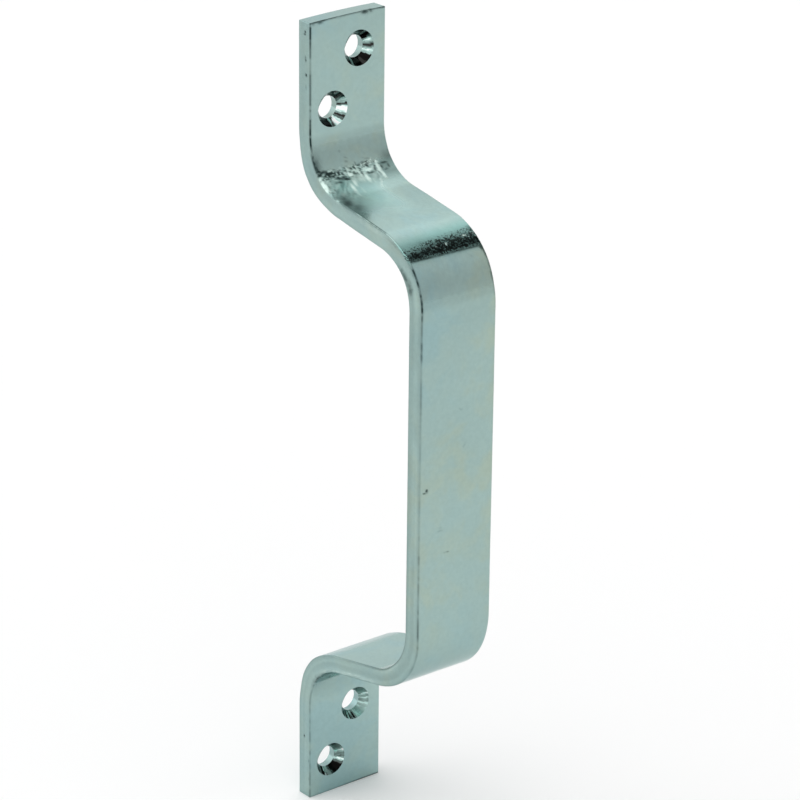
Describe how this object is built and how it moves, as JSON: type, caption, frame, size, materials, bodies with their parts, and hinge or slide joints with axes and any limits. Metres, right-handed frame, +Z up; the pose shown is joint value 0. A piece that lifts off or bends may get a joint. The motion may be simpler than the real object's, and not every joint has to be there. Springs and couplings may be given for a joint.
{
  "type": "door pull handle",
  "caption": "Door pull handle bent from one flat steel bar, with a straight grip and countersunk screw holes in its two flat plates.",
  "frame": {"origin": "on the door face, at the middle of the handle's height and width", "axes": "+Z up along the handle, -Y out from the door towards the hand, +X to the right seen from the front"},
  "size_m": [0.025, 0.052, 0.226],
  "materials": {
    "zinc_plated_steel": "bright zinc plating with a faint blue-green tint, over cold-drawn steel bar"
  },
  "bodies": {
    "root": {"pull_handle": "zinc_plated_steel"}
  },
  "joints": []
}
